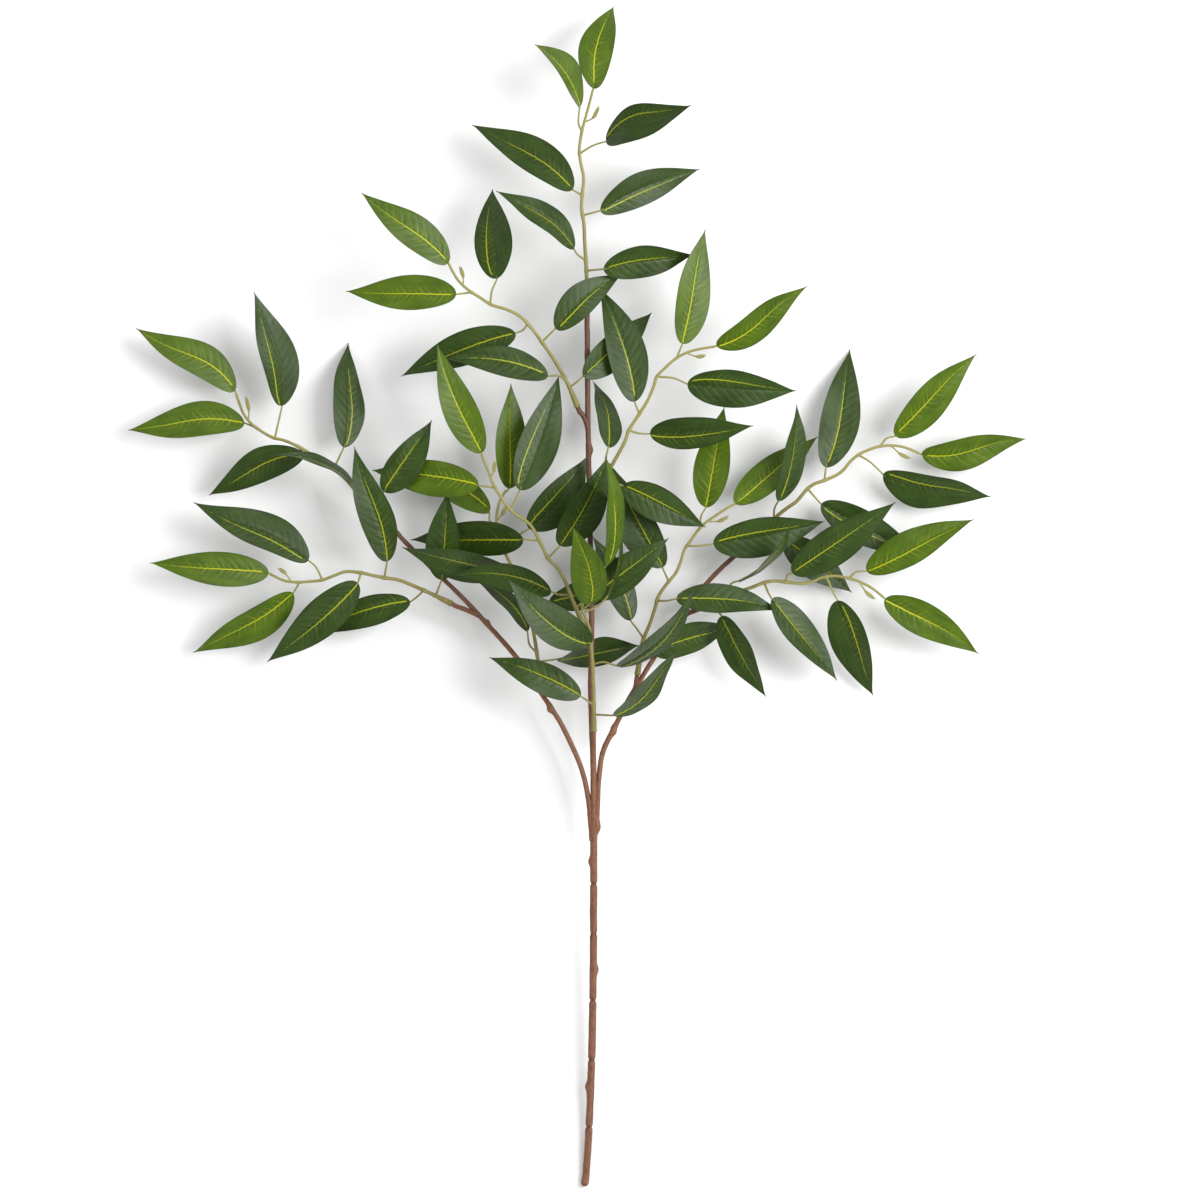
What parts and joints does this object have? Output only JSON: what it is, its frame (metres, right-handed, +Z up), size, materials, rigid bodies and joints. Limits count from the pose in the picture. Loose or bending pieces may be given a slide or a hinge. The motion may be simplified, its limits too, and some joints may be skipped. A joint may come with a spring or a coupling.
{
  "type": "artificial ruscus stem",
  "caption": "Artificial ruscus stem lying flat: a forked brown stem with zigzag twigs of long pointed dark green leaves.",
  "frame": {"origin": "on the table, under the middle of the stem's outline seen from above", "axes": "+Y runs along the main stem from its foot to its tip, +X to the right seen from above, +Z up from the table"},
  "size_m": [0.5821, 0.7663, 0.0964],
  "materials": {
    "bark": "moulded plastic, mottled reddish brown, satin",
    "foliage": "printed fabric blades on moulded olive twigs, dark green with yellow-green midribs, low sheen"
  },
  "bodies": {
    "root": {"stem": "bark", "spray_top": "foliage", "spray_upper_left": "foliage", "spray_upper_right": "foliage", "spray_inner_left": "foliage", "spray_second_left": "foliage", "spray_front": "foliage", "spray_inner_right": "foliage", "spray_right_end": "foliage", "spray_right_low": "foliage", "spray_left_end": "foliage", "spray_left_low": "foliage"}
  },
  "joints": []
}
